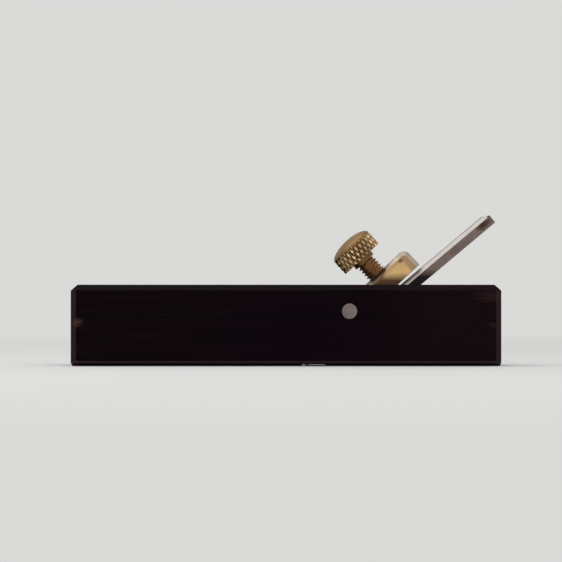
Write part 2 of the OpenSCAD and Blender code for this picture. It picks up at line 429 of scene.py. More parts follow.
def ebony_finish(name, lit_and_worn=0.0):
    """Ebony, paler and browner by an amount, as wear and as painted light on the faces that catch it."""
    wood = Finish(name)

    def tone(colour):
        return tuple(c + lit_and_worn * t for c, t in zip(colour, LIT_AND_WORN_TINT))

    grain = wood.noise(wood.stretched(GRAIN_WAVES), 3.2, detail=8, roughness=0.62)
    streaks = wood.noise(wood.stretched(STREAK_WAVES, shift=(0.3, 0, 0)), 2.4, detail=5)
    colour = wood.ramp(grain, *[(share, tone(dark)) for share, dark in GRAIN_TONES])
    colour = wood.mixed(wood.between(streaks, 0.42, 0.75), colour, tone(STREAK_TONE))
    warm = wood.between(wood.axis("X"), seen_x(WARM_FROM_PX), seen_x(WARM_TO_PX), 0, 0.6)
    colour = wood.mixed(warm, colour, tone(WARM_TONE))
    purple = wood.near(near_side(PURPLE_PX), PURPLE_REACH, power=0.8)
    colour = wood.mixed(wood.maths("MULTIPLY", purple, 0.6), colour, tone(PURPLE_TONE))
    lines = wood.between(wood.noise(wood.stretched(LINE_WAVES), 2.0, detail=6), 0.40, 0.62)
    for spot, reach, tint in PALE_SPOTS:
        patch = wood.maths("MULTIPLY", wood.near(near_side(spot), reach, power=0.9), lines)
        colour = wood.mixed(patch, colour, tint)
    pores = wood.noise(wood.stretched(PORE_WAVES), 2.0, detail=3)
    pitted = wood.dents(wood.between(pores, 0.5, 0.7), 0.25, PORE_DEPTH)
    wood.give(Base_Color=colour, Roughness=wood.between(grain, 0.3, 0.8, 0.34, 0.50),
              Normal=wood.dents(grain, 0.18, GRAIN_DEPTH, under=pitted), Specular_IOR_Level=WOOD_SHEEN)
    return wood.material


ebony = ebony_finish("ebony")
# Paler copies for the top edges, end corners and sole, chosen by face direction: painted light that these
# faces catch, and wear.
lit_and_worn_edges = ebony_finish("ebony_top_edges", 0.002)
lit_and_worn_corners = ebony_finish("ebony_corners", 0.018)
lit_and_worn_sole = ebony_finish("ebony_sole", 0.070)
print("wood finishes:", [m.name for m in (ebony, lit_and_worn_edges, lit_and_worn_corners, lit_and_worn_sole)])

# %% [markdown]
# The body is four glued pieces: two cheeks with a block in front of the mouth and one behind it, so
# the throat needs no chopping out. Each is a section of the body, with the arc of the sole below,
# drawn out along the grain and sawn to its end chamfers. One shape for the whole body would be
# quicker, but separate pieces give true glue lines and the open throat.

# %% Body pieces
HALF_LENGTH, HEIGHT = 82.5, 31.2
HALF_MORTISE = 6.5
SOLE_RADIUS, SOLE_STEPS = 38.0, 14
EDGE_CHAMFER = 2.1
END_CUT_LENGTH, END_CUT_HEIGHT = 2.6, 2.3


def sole_height(y):
    return SOLE_RADIUS - math.sqrt(SOLE_RADIUS ** 2 - y * y)


def body_bar(y_from, y_to, top):
    """A bar of the body between two widths, with the sole's arc under it and given top points."""
    arc = [y_from + (y_to - y_from) * i / SOLE_STEPS for i in range(SOLE_STEPS + 1)]
    section = [(y, sole_height(y)) for y in arc] + top
    bm = loft([[(x, y, z) for y, z in section] for x in (-HALF_LENGTH, HALF_LENGTH)])
    for end in (-1, 1):
        for side in (-1, 1):
            saw(bm, (end * HALF_LENGTH, side * (HALF_WIDTH - EDGE_CHAMFER), 0), (end, side, 0))
        saw(bm, (end * HALF_LENGTH, 0, HEIGHT - END_CUT_HEIGHT), (end * END_CUT_HEIGHT, 0, END_CUT_LENGTH))
    return bm


def cheek_mesh(side):
    top = [(side * HALF_MORTISE, HEIGHT), (side * (HALF_WIDTH - EDGE_CHAMFER), HEIGHT),
           (side * HALF_WIDTH, HEIGHT - EDGE_CHAMFER)]
    return body_bar(side * HALF_WIDTH, side * HALF_MORTISE, top)


def block_mesh():
    return body_bar(-HALF_MORTISE, HALF_MORTISE, [(HALF_MORTISE, HEIGHT), (-HALF_MORTISE, HEIGHT)])


left_cheek = make_piece("cheek_left", cheek_mesh(-1), metres, "body", "left_cheek", ebony)
right_cheek = make_piece("cheek_right", cheek_mesh(1), metres, "body", "right_cheek", ebony)
print("cheeks from", HALF_MORTISE, "to", HALF_WIDTH, "mm from the middle")

# %% [markdown]
# The two blocks start as the same bar. The front one is sawn along the throat's front wall, which is
# steep at the mouth and leans back above it, and the rear one along the bed. The bed's plane comes
# from the iron's own frame, so the iron lies on the wood without a gap.

# %% Throat and bed
MOUTH_X = 6.24
WEAR_TOP, THROAT_TOP = (5.358, 5.0), (-9.768, HEIGHT)
BED_DEPTH = 4.83

front = block_mesh()
saw(front, (MOUTH_X, 0, 0), (WEAR_TOP[1], 0, MOUTH_X - WEAR_TOP[0]))
saw(front, (WEAR_TOP[0], 0, WEAR_TOP[1]), (THROAT_TOP[1] - WEAR_TOP[1], 0, WEAR_TOP[0] - THROAT_TOP[0]))
front_block = make_piece("block_front", front, metres, "body", "front_block", ebony)

rear = block_mesh()
bed_point = metres.inverted() @ on_the_bed @ Vector((0, 0, -BED_DEPTH))
bed_up = (on_the_bed.to_3x3() @ Vector((0, 0, 1))).normalized()
saw(rear, bed_point, bed_up)
rear_block = make_piece("block_rear", rear, metres, "body", "rear_block", ebony)
print("bed at", [round(v, 2) for v in bed_point])

# %% [markdown]
# The steel cross pin runs through both cheeks, filed flush. Its holes are cut from the cheeks with a
# Boolean, and then every edge of the wood is broken a little, as a maker does with fine paper. A face
# takes a paler copy of the wood, as wear and painted light, by the way it looks: its direction has
# one share for each axis.

# %% Pin holes and broken edges
PIN_RADIUS, PIN_SEAT = 3.0, 0.04
PIN_SIDES, DRILL_REACH, DRILL_EASE = 96, 20, 0.1
GLUE_EDGE = 0.10
LEVEL, SLANTED, SQUARE = 0.01, 0.3, 0.95
DOWNWARD = -0.8
NEAR_END = 4


def rod(radius, reach, sides, ease):
    """A rod along Y with eased ends."""
    return lathe([(0, -reach), (radius - ease, -reach), (radius, -reach + ease),
                  (radius, reach - ease), (radius - ease, reach), (0, reach)], sides)


def top_edges(n, p):
    return SLANTED < n.z < SQUARE and abs(n.x) < LEVEL and abs(n.y) > SLANTED


def end_edges(n, p):
    sloping = abs(n.x) > SLANTED and (abs(n.y) > SLANTED or n.z > SLANTED)
    return sloping and abs(p.x) > HALF_LENGTH - NEAR_END


def sole_faces(n, p):
    return n.z < DOWNWARD and abs(n.x) < LEVEL


along_y = Matrix.Rotation(math.radians(90), 4, "X")
for cheek in (left_cheek, right_cheek):
    cut_with(cheek, rod(PIN_RADIUS + PIN_SEAT, DRILL_REACH, PIN_SIDES, DRILL_EASE), on_the_pin @ along_y)
# Top edges, end corners and sole take the paler copies, as painted light and wear.
for wood_piece in (left_cheek, right_cheek, front_block, rear_block):
    second_finish(wood_piece, lit_and_worn_edges, metres, top_edges)
    second_finish(wood_piece, lit_and_worn_corners, metres, end_edges)
    second_finish(wood_piece, lit_and_worn_sole, metres, sole_faces)
    break_edges(wood_piece, GLUE_EDGE)
    report(wood_piece)

# %% [markdown]
# Every metal here is worked but not polished: fine scratches run one way, the gloss changes from
# place to place, and a duller tone lies in clouds over the surface. One helper makes them all from
# three noises, and a piece with marks of its own hands in a function that adds them to the colour.
# The long chamfers of the iron were filed last and stay bright, partly as a painted highlight.
# Its sides are dull with oxide, and painted shade darkens them where they leave the wood.

# %% Ground steel
CLOUDS, SPECKS = 170, 900
SCRATCH_DEPTH = 0.03 * MM
GLOSS_SPREAD = 0.14
# Painted shade on the iron's sides just above the body's top.
IRON_SHADE = (0.018, 0.013, 0.013)
IRON_SHADE_BAND = (3.1, 6.2, 0.98)
DARK_FROM, DARK_TO = -9, -2
IRON_HALF_WIDTH = 6.35
STAIN = (0.046, 0.024, 0.020)
IRON_STAIN_PX = (482.6, 224.3)
IRON_STAIN_REACH = (3.4, 4, 1.7)


def metal_finish(name, bright, dull, gloss, lines, marks=None):
    """Worked metal with lines that are so long and so fine, at a slope, and so deep."""
    metal = Finish(name)
    along, across, lean, depth = lines
    scratches = metal.noise(metal.stretched((along, across, across), lean), 2.0, detail=6, roughness=0.7)
    clouds = metal.noise(metal.place, CLOUDS, detail=6, roughness=0.6)
    specks = metal.noise(metal.place, SPECKS, detail=3)
    colour = metal.mixed(metal.between(clouds, 0.38, 0.70), bright, dull)
    colour = metal.mixed(metal.between(scratches, 0.55, 0.80, 0.0, 0.35), colour, dull)
    colour = metal.mixed(metal.between(specks, 0.64, 0.80, 0.0, 0.4), colour, tuple(0.5 * c for c in dull))
    if marks:
        colour = marks(metal, colour)
    rough = metal.between(scratches, 0.3, 0.7, gloss, gloss + GLOSS_SPREAD)
    metal.give(Base_Color=colour, Metallic=1.0, Roughness=rough,
               Normal=metal.dents(scratches, depth, SCRATCH_DEPTH))
    return metal.material


def shade_by_the_wood(metal, low, high, most):
    """Painted shade in a band round the height of the body's top: dark there, and gone above and far below.
    """
    height = metal.axis("Z")
    above = metal.between(height, (HEIGHT + low) * MM, (HEIGHT + high) * MM, most, 0)
    below = metal.between(height, (HEIGHT + DARK_FROM) * MM, (HEIGHT + DARK_TO) * MM)
    return metal.maths("MULTIPLY", above, below)


def iron_marks(steel, colour):
    """Painted shade where the iron comes out of the wood, and one dark stain near its top end."""
    colour = steel.mixed(shade_by_the_wood(steel, *IRON_SHADE_BAND), colour, IRON_SHADE)
    place = near_side(IRON_STAIN_PX, -IRON_HALF_WIDTH)
    stain = steel.near(place, IRON_STAIN_REACH, power=0.5, lean=BED_ANGLE)
    return steel.mixed(steel.maths("MULTIPLY", stain, 0.95), colour, STAIN)


dull_steel = metal_finish("dull_steel", (0.252, 0.194, 0.172), (0.155, 0.112, 0.098), 0.40,
                          (60, 2200, BED_ANGLE, 0.20), iron_marks)
# Paler finish for the filed chamfers: filed steel, and partly a painted highlight.
filed_highlit_steel = metal_finish("filed_highlit_steel", (0.49, 0.455, 0.43), (0.43, 0.385, 0.365), 0.42,
                           (40, 1200, BED_ANGLE, 0.04))
pin_steel = metal_finish("pin_steel", (0.245, 0.20, 0.187), (0.18, 0.145, 0.137), 0.34,
                         (700, 900, 0, 0.20))
print("steel finishes:", [m.name for m in (dull_steel, filed_highlit_steel, pin_steel)])

# %% [markdown]
# The cross pin is a plain steel rod on which the lever cap turns. Only its two ends show, so a turned
# rod with eased ends is enough. Each end stays a hundredth of a millimetre inside the cheek's face,
# so that the two flush faces never lie in one plane and flicker.

# %% Cross pin
PIN_HALF_LENGTH, PIN_EASE = 11.99, 0.12
pin = make_piece("cross_pin_rod", rod(PIN_RADIUS, PIN_HALF_LENGTH, PIN_SIDES, PIN_EASE),
                 on_the_pin @ along_y, "body", "cross_pin", pin_steel)
shade(pin, sharp_angle=30)
report(pin)

# %% [markdown]
# The iron is a thick straight bar. Its cutting edge is ground to the sole's curve, so the bevel
# underneath is part of a wide cylinder. The long upper edges and the end corners are chamfered, and
# the top end slopes. Side outlines at several widths are lofted into the bar, and four planes saw
# the end to shape.

# %% Iron
IRON_LENGTH, IRON_THICKNESS = 91.6, 4.8
BEVEL_ANGLE = math.radians(28)
IRON_CHAMFER, IRON_EASE = 1.5, 0.16
CHAMFER_START, CHAMFER_RUN = 44.0, 2.0
END_SLOPE_LENGTH, END_SLOPE_HEIGHT = 2.25, 1.35
SAWN_OFF = 2
IRON_STEPS = 5
FLAT_ENOUGH = math.radians(0.5)
bevel_radius = SOLE_RADIUS * math.sin(math.radians(BED_ANGLE)) / math.sin(BEVEL_ANGLE)


def iron_outline(y):
    """Side outline of the iron at one width, as (x, y, z) points from the edge round to the bevel."""
    dip = bevel_radius - math.sqrt(bevel_radius ** 2 - y * y)
    edge = dip / math.sin(BEVEL_ANGLE)
    heel = (dip + IRON_THICKNESS * math.cos(BEVEL_ANGLE)) / math.sin(BEVEL_ANGLE)
    top = -IRON_CHAMFER if abs(y) == IRON_HALF_WIDTH else 0
    over = IRON_LENGTH + SAWN_OFF
    points = [(edge, 0), (CHAMFER_START, 0), (CHAMFER_START + CHAMFER_RUN, top), (over, top),
              (over, -IRON_THICKNESS), (heel, -IRON_THICKNESS)]
    return [(x, y, z) for x, z in points]


inner_half = IRON_HALF_WIDTH - IRON_CHAMFER
inner_widths = [inner_half * i / IRON_STEPS for i in range(-IRON_STEPS, IRON_STEPS + 1)]
bar = loft([iron_outline(y) for y in (-IRON_HALF_WIDTH, *inner_widths, IRON_HALF_WIDTH)])
saw(bar, (IRON_LENGTH, 0, 0), (1, 0, 0))
saw(bar, (IRON_LENGTH, 0, -END_SLOPE_HEIGHT), (END_SLOPE_HEIGHT, 0, END_SLOPE_LENGTH))
for side in (-1, 1):
    saw(bar, (IRON_LENGTH, side * inner_half, 0), (1, side, 0))
bmesh.ops.dissolve_limit(bar, angle_limit=FLAT_ENOUGH, verts=bar.verts, edges=bar.edges)
iron = make_piece("iron_bar", bar, on_the_bed, "cutter", "iron", dull_steel)
# The chamfers take the paler finish by face direction, partly as a painted highlight.
second_finish(iron, filed_highlit_steel, on_the_bed, lambda n, p: n.z > SLANTED and abs(n.y) > SLANTED)
break_edges(iron, IRON_EASE, angle=20)
report(iron)

# %% [markdown]
# The lever cap and the thumb screw are brass. The cap's filed edges are pale and almost silvery, partly
# as a painted highlight, its sides are a soft yellow with painted shade that turns them brown by the
# wood, and the screw is darker, with tarnish in the hollows of its knurl and thread. The photograph
# shows the cap's edge dark beside the screw as well. One view can't tell why. It is painted as shade
# where the knob overhangs the cap. Distances from the screw find the shade and the tarnish, so both
# follow the geometry wherever they are seen from.

# %% Brass marks
CAP_ANGLE = BED_ANGLE + CAP_SLOPE
CAP_HALF_WIDTH = 6.2
TAIL_TOP = 3.0
BROWN, TARNISH = (0.075, 0.036, 0.020), (0.060, 0.030, 0.015)
# Painted shade on the cap's sides just above the body's top.
CAP_SHADE_BAND = (1.7, 4.7, 0.95)
# Reaches of the painted shade beside the screw, under the knob, in mm.
SCREW_SHADE_REACH, ON_THE_SIDES, ALL_THROUGH = (4.6, 9.5), 3.2, 40
CORNER_PLACE, CORNER_REACH = (30.4, 0, 2.2), (3.4, ALL_THROUGH, 2.4)
CORNER_TONE = (0.27, 0.23, 0.19)
# Painted shade on the cap's sides, under the filed edges and by the tail's end.
EDGE_SHADE_DEPTH, EDGE_SHADE_FROM, EDGE_SHADE_TO = 1.5, 27.1, 28.9
EDGE_SHADE_TONE = (0.36, 0.235, 0.15)
CAP_DENT_PX = (400.1, 260.3)
CAP_DENT_REACH = (1.15, 3, 0.8)


def shade_by_screw(brass, colour, depth):
    """Painted shade across the cap beside the screw, under the knob, as wide as the dark place in the
    photograph.
    """
    top = on_the_screw @ Vector((0, 0, TAIL_TOP))
    away = brass.away_from(top, (*SCREW_SHADE_REACH, depth), CAP_ANGLE)
    ragged = brass.between(brass.noise(brass.place, 500, detail=3), 0.3, 0.7, -0.07, 0.07)
    return brass.mixed(brass.between(brass.maths("ADD", away, ragged), 0.90, 1.08, 0.94, 0), colour, BROWN)


def filed_marks(brass, colour):
    """A duller corner, where the file was rolled round, and the painted shade beside the screw."""
    rolled = brass.near(on_the_pin @ Vector(CORNER_PLACE), CORNER_REACH, power=0.6, lean=CAP_ANGLE)
    colour = brass.mixed(brass.maths("MULTIPLY", rolled, 0.75), colour, CORNER_TONE)
    return shade_by_screw(brass, colour, ALL_THROUGH)


def cap_marks(brass, colour):
    """Painted shade by the screw, by the wood and inside the filed edges and the tail's end, and one dark
    dent.
    """
    colour = shade_by_screw(brass, colour, ON_THE_SIDES)
    # Painted shade where the cap comes out of the wood.
    colour = brass.mixed(shade_by_the_wood(brass, *CAP_SHADE_BAND), colour, BROWN)
    on_the_cap = brass.seen_from(on_the_pin.translation, lean=CAP_ANGLE)
    # Painted shade along the filed edges and the tail's end.
    under_top = brass.between(brass.axis("Z", on_the_cap), 0, EDGE_SHADE_DEPTH * MM)
    by_the_end = brass.between(brass.axis("X", on_the_cap), EDGE_SHADE_FROM * MM, EDGE_SHADE_TO * MM, 0, 1.3)
    edge_shade = brass.maths("MULTIPLY", brass.maths("MAXIMUM", under_top, by_the_end), 0.6)
    colour = brass.mixed(edge_shade, colour, EDGE_SHADE_TONE)
    place = near_side(CAP_DENT_PX, -CAP_HALF_WIDTH)
    dent = brass.near(place, CAP_DENT_REACH, power=0.4, lean=CAP_ANGLE)
    return brass.mixed(brass.maths("MULTIPLY", dent, 0.85), colour, BROWN)


def tarnish_between(low, high, least=0.0):
    """Marks that turn dark from one distance from the screw's axis down to another, in mm."""
    def marks(brass, colour):
        clean = brass.between(brass.from_axis(on_the_screw, CAP_ANGLE), low * MM, high * MM, least, 1)
        return brass.mixed(clean, TARNISH, colour)
    return marks


print("cap's side is marked at", [round(v / MM, 1) for v in near_side(CAP_DENT_PX, -CAP_HALF_WIDTH)])

# %% [markdown]
# The brasses differ in the photograph. The cap's sides are the yellowest, its filed edges the palest,
# partly as a painted highlight, the dome is dull, the collar is darker with painted shade under the
# knob, and the tips of the knurl shine, as metal does where fingers rub it. Each call gives a bright
# and a dull tone, the gloss, and the lines of the tool that cut the surface. One brass for all of them
# would be less work, but it would look cast in one mould.

# %% Brass
cap_brass = metal_finish("cap_brass", (0.86, 0.58, 0.265), (0.67, 0.43, 0.182), 0.34,
                         (60, 1500, CAP_ANGLE, 0.15), cap_marks)
# Paler, almost silvery finish for the filed edges: filed brass, and partly a painted highlight.
filed_highlit_brass = metal_finish("filed_highlit_brass", (0.54, 0.46, 0.385), (0.46, 0.375, 0.30), 0.36,
                           (50, 1200, CAP_ANGLE, 0.03), filed_marks)
dome_brass = metal_finish("dome_brass", (0.318, 0.196, 0.083), (0.245, 0.143, 0.062), 0.46,
                          (500, 500, CAP_ANGLE, 0.12))
# Darker brass for the collar and the knob's underside: painted shade under the knob.
shaded_collar_brass = metal_finish("shaded_collar_brass", (0.26, 0.138, 0.059), (0.18, 0.090, 0.040), 0.36,
                            (500, 500, CAP_ANGLE, 0.12))
knurl_brass = metal_finish("knurl_brass", (0.78, 0.54, 0.28), (0.52, 0.33, 0.16), 0.22,
                           (600, 600, CAP_ANGLE, 0.10), tarnish_between(8.25, 8.80))
thread_brass = metal_finish("thread_brass", (0.50, 0.30, 0.14), (0.32, 0.18, 0.088), 0.34,
                            (500, 500, CAP_ANGLE, 0.10), tarnish_between(2.9, 4.0, 0.72))
brasses = (cap_brass, filed_highlit_brass, dome_brass, shaded_collar_brass, knurl_brass, thread_brass)
print("brass finishes:", [m.name for m in brasses])

# %% [markdown]
# The lever cap is one brass casting filed to shape: a narrow toe that bears on the iron, a round
# boss for the pin, and a thick square tail with chamfered upper and end edges that carries the
# thumb screw. Its side is drawn as one closed outline, whose tail can be drawn in by the chamfer.

# %% Lever cap outline
CAP_CHAMFER = 1.4
TAIL_START, TAIL_END, TAIL_BOTTOM = 8.0, 32.0, -5.3
TAIL_CORNER, CORNER_STEP = 2.6, 15
TOE_END, LAND_LENGTH, HOLLOW = -17.5, 1.6, 0.7
NOSE_HEIGHT, NOSE_SLOPE, NOSE_DIP = 0.9, math.radians(24), 0.2
BOSS_RADIUS = 4.8
UPPER_STEPS, LOWER_STEPS = 16, 6
REST_CLEARANCE = 0.03
HALVINGS = 40


def iron_below(x):
    """Height of the iron's face under the cap."""
    return -PIN_LIFT / math.cos(math.radians(CAP_SLOPE)) - x * math.tan(math.radians(CAP_SLOPE))


def meets_boss(start, end):
    """Where a line first reaches the boss, found by halving."""
    inside, outside = 1.0, 0.0
    for _ in range(HALVINGS):
        half = (inside + outside) / 2
        x, z = (a + (b - a) * half for a, b in zip(start, end))
        if math.hypot(x, z) < BOSS_RADIUS:
            inside = half
        else:
            outside = half
    return tuple(a + (b - a) * inside for a, b in zip(start, end))


def boss_arc(start, end, steps):
    """Points of the boss from one point on it to another, clockwise."""
    first, last = (math.atan2(p[1], p[0]) for p in (start, end))
    if last > first:
        last -= 2 * math.pi
    turns = [first + (last - first) * i / steps for i in range(steps + 1)]
    return [(BOSS_RADIUS * math.cos(a), BOSS_RADIUS * math.sin(a)) for a in turns]


def tail_corner(inset):
    """The rounded corner between the tail's top and its end."""
    centre_x, centre_z = TAIL_END - TAIL_CORNER, TAIL_TOP - TAIL_CORNER
    radius = TAIL_CORNER - inset
    turns = [math.radians(a) for a in range(90, -1, -CORNER_STEP)]
    return [(centre_x + radius * math.cos(a), centre_z + radius * math.sin(a)) for a in turns]


def cap_outline(inset):
    """Side of the lever cap, clockwise from the toe, with the tail's edges drawn in."""
    land, hollow = TOE_END + LAND_LENGTH, TOE_END + LAND_LENGTH + HOLLOW
    toe_top = (TOE_END, iron_below(TOE_END) + NOSE_HEIGHT)
    nose_end = (-BOSS_RADIUS * math.sin(NOSE_SLOPE), BOSS_RADIUS * math.cos(NOSE_SLOPE) - NOSE_DIP)
    boss_end = (math.sqrt(BOSS_RADIUS ** 2 - TAIL_TOP ** 2), TAIL_TOP)
    under_from, under_to = (TAIL_START, TAIL_BOTTOM), (0, iron_below(0) + HOLLOW)
    toe_under = (hollow, iron_below(hollow) + HOLLOW)
    right_meets, left_meets = meets_boss(under_from, under_to), meets_boss(toe_under, under_to)
    return [
        (TOE_END, iron_below(TOE_END) + REST_CLEARANCE), toe_top,
        *boss_arc(meets_boss(toe_top, nose_end), boss_end, UPPER_STEPS),
        (TAIL_START, TAIL_TOP), (TAIL_START + CAP_CHAMFER, TAIL_TOP - inset), *tail_corner(inset),
        (TAIL_END - inset, TAIL_BOTTOM), under_from,
        *boss_arc(right_meets, left_meets, LOWER_STEPS),
        toe_under, (land, iron_below(land) + REST_CLEARANCE),
    ]


print("cap outline has", len(cap_outline(0)), "points")

# %% [markdown]
# The full outline stands inside the chamfers and the drawn-in one at the two faces, and a loft across
# the width joins them into filed edges of even width. A bevel could make them, but not so wide round
# the small corner. Then the two bores are cut, one for the pin and one for the thread.

# %% Lever cap
BORE_CLEARANCE = 0.06
BORE_SIDES, BORE_REACH = 64, 10
THREAD_RADIUS = 3.97
CAP_EASE = 0.30
full_side, drawn_side = cap_outline(0), cap_outline(CAP_CHAMFER)
stations = [
    (-CAP_HALF_WIDTH, drawn_side),
    (-CAP_HALF_WIDTH + CAP_CHAMFER, full_side),
    (CAP_HALF_WIDTH - CAP_CHAMFER, full_side),
    (CAP_HALF_WIDTH, drawn_side),
]
cap_mesh = loft([[(x, y, z) for x, z in side] for y, side in stations])
cap = make_piece("lever_cap_casting", cap_mesh, on_the_pin, "lever", "lever_cap", cap_brass)
for bore, placed in ((PIN_RADIUS, on_the_pin @ along_y), (THREAD_RADIUS, on_the_screw)):
    cut_with(cap, rod(bore + BORE_CLEARANCE, BORE_REACH, BORE_SIDES, DRILL_EASE), placed)
# The filed edges take the paler finish by face direction, partly as a painted highlight.
second_finish(cap, filed_highlit_brass, on_the_pin, lambda n, p: SLANTED < abs(n.y) < SQUARE and p.x > TAIL_START)
break_edges(cap, CAP_EASE, segments=3, angle=28)
report(cap)

# %% [markdown]
# The thumb screw's shank has a true helical thread. Rings would look the same from far away, but a
# real thread leans, and the lean shows where the crests cross the edge of the shank. The skin of
# the thread is a grid whose rows climb by one pitch in a turn, so its end columns meet exactly. It
# fades into the core at both ends, as a cut thread does.

# %% Thread
PITCH, THREAD_DEPTH = 1.411, 0.8
THREAD_SIDES = 72
THREAD_FORM = [
    (0.06, 0.0), (0.16, 0.22), (0.34, 0.80), (0.45, 1.0),
    (0.55, 1.0), (0.66, 0.80), (0.84, 0.22), (0.94, 0.0),
]
FADE_BELOW, FADE_ABOVE = 0.6, 0.9
SUNK_IN_CORE, SUNK_IN_TIP, SKIN_FROM = 0.02, 0.1, 0.25
TIP_HEIGHT, TIP_RADIUS, TIP_LIFT = 0.9, 2.5, 1.0
COLLAR_LENGTH, KNOB_GAP = 1.7, 8.3
root_radius = THREAD_RADIUS - THREAD_DEPTH
tip_z = iron_below(SCREW_ALONG) + TIP_LIFT
knob_z = TAIL_TOP + KNOB_GAP
shank_length = knob_z - tip_z
thread_top = shank_length - COLLAR_LENGTH - REST_CLEARANCE


def thread_mesh():
    """Skin of the thread with its ends hidden in the core."""
    bm = bmesh.new()
    steps = len(THREAD_FORM)
    turns = math.ceil((thread_top - TIP_HEIGHT) / PITCH) + 2
    grid = []
    for i in range(THREAD_SIDES):
        angle = 2 * math.pi * i / THREAD_SIDES
        column = []
        for j in range(turns * steps):
            share, rise = THREAD_FORM[j % steps]
            z = TIP_HEIGHT + (j // steps + share + i / THREAD_SIDES - 1) * PITCH
            fade = max(0.0, min(1.0, (z - TIP_HEIGHT) / FADE_BELOW, (thread_top - z) / FADE_ABOVE))
            radius = TIP_RADIUS - SUNK_IN_TIP
            if z > TIP_HEIGHT:
                radius = root_radius - SUNK_IN_CORE + THREAD_DEPTH * rise * fade
            column.append(bm.verts.new((radius * math.cos(angle), radius * math.sin(angle), z)))
        grid.append(column)
    for i in range(THREAD_SIDES):
        here = grid[i]
        beside = grid[i + 1] if i + 1 < THREAD_SIDES else grid[0][steps:]
        for j in range(len(beside) - 1):
            corners = (here[j], beside[j], beside[j + 1], here[j + 1])
            if min(v.co.z for v in corners) > SKIN_FROM and max(v.co.z for v in corners) < thread_top:
                bm.faces.new(corners)
    bmesh.ops.delete(bm, geom=[v for v in bm.verts if not v.link_faces], context="VERTS")
    return bm


print("thread from", round(TIP_HEIGHT, 2), "to", round(thread_top, 2), "mm above the tip")

# %% [markdown]
# The core inside the thread is turned: a small flat tip that presses on the iron, the root of the
# thread, and a spigot that holds the knob. The thread's skin is put into the same mesh, so that the
# shank is one piece as on the real screw.

# %% Shank
SPIGOT_RADIUS, SPIGOT_LENGTH = 3.0, 3.4
TIP_EASE = 0.2
spigot_top = shank_length + SPIGOT_LENGTH
shank_mesh = lathe([(0, 0), (TIP_RADIUS - TIP_EASE, 0), (TIP_RADIUS, TIP_EASE), (root_radius, TIP_HEIGHT),
                    (root_radius, thread_top), (SPIGOT_RADIUS, thread_top), (SPIGOT_RADIUS, spigot_top),
                    (0, spigot_top)], THREAD_SIDES)
thread = thread_mesh()
thread_data = bpy.data.meshes.new("thread")
thread.to_mesh(thread_data)
thread.free()
shank_mesh.from_mesh(thread_data)
bpy.data.meshes.remove(thread_data)
on_the_tip = slope_frame(on_the_screw, 0, tip_z, 0)
shank = make_piece("screw_shank", shank_mesh, on_the_tip, "screw", "thumb_screw_shank",
                   thread_brass)
shade(shank, sharp_angle=38)
report(shank)

# %% [markdown]
# The knob is what the eye goes to: a band of coarse diamond knurling that runs out into a smooth low
# dome, with a plain collar below. A bump texture can't change the outline, so the knurl is real
# geometry. Two sets of grooves climb left and right round the band, and the grid is spaced so that
# both run exactly through its points.

# %% Knurled band
KNOB_RADIUS, KNOB_EDGE, BAND_HEIGHT, DOME_HEIGHT = 8.85, 0.3, 5.8, 3.4
DIAMONDS_ROUND, SPLIT, BAND_ROWS = 26, 12, 16
KNURL_DEPTH, KNURL_FLAT, KNURL_TURN = 0.60, 1.2, 4.3
DOME_STEP, DOME_STEPS = 5, 17
RUN_OUT = {1: 0.55, 2: 0.2}
columns = DIAMONDS_ROUND * SPLIT


def knurl_rise(i, k):
    """1 on top of a diamond and 0 in a groove, at a column and row of the grid."""
    climbing, falling = (i + k) / SPLIT, (i - k) / SPLIT
    nearest = min(abs(climbing - round(climbing)), abs(falling - round(falling)))
    return min(1.0, 2 * nearest * KNURL_FLAT)


def band_ring(k):
    """(radius, height) of every column in one row of the band, whose lower edge is chamfered."""
    z = BAND_HEIGHT * k / BAND_ROWS
    chamfered = min(KNOB_RADIUS, KNOB_RADIUS - KNOB_EDGE + z)
    return [(min(chamfered, KNOB_RADIUS - KNURL_DEPTH * (1 - knurl_rise(i, k))), z) for i in range(columns)]


def dome_ring(j):
    """One ring of the dome. The grooves run out in the lowest of them."""
    turn = math.radians(DOME_STEP * j)
    groove = KNURL_DEPTH * RUN_OUT.get(j, 0)
    radius, z = KNOB_RADIUS * math.cos(turn), BAND_HEIGHT + DOME_HEIGHT * math.sin(turn)
    return [(radius - groove * (1 - knurl_rise(i, BAND_ROWS + j)), z) for i in range(columns)]


print("knurl of", DIAMONDS_ROUND, "diamonds on", columns, "columns")

# %% [markdown]
# The rings run from the hollow over the spigot, round the collar and up the band to the dome, and are
# joined into one closed skin. Each square of the band is split along the diagonal that keeps the
# groove or ridge sharp. The dome then takes its own, smoother brass, and the collar and the knob's
# underside a smoother, darker one that paints the shade under the knob.

# %% Knob
COLLAR_RADIUS, COLLAR_EDGE = 4.5, 0.15
UNDERSIDE_RING = 6.5
DOME_BRASS_FROM, COLLAR_BRASS_TO = BAND_HEIGHT + 0.3, 0.01
hollow_top = SPIGOT_LENGTH + 2 * BORE_CLEARANCE
hollow_radius = SPIGOT_RADIUS + BORE_CLEARANCE
LOWER_RINGS = [
    (hollow_radius, hollow_top), (hollow_radius, -COLLAR_LENGTH),
    (COLLAR_RADIUS - COLLAR_EDGE, -COLLAR_LENGTH), (COLLAR_RADIUS, -COLLAR_LENGTH + COLLAR_EDGE),
    (COLLAR_RADIUS, 0), (UNDERSIDE_RING, 0),
]


def band_triangles(i, k):
    """Corners of the two triangles of a square of the band, split where the knurl stays sharp."""
    middle = knurl_rise(i + 0.5, k + 0.5)
    rising = abs((knurl_rise(i, k) + knurl_rise(i + 1, k + 1)) / 2 - middle)
    sinking = abs((knurl_rise(i + 1, k) + knurl_rise(i, k + 1)) / 2 - middle)
    return ((0, 1, 2), (0, 2, 3)) if rising <= sinking else ((0, 1, 3), (1, 2, 3))


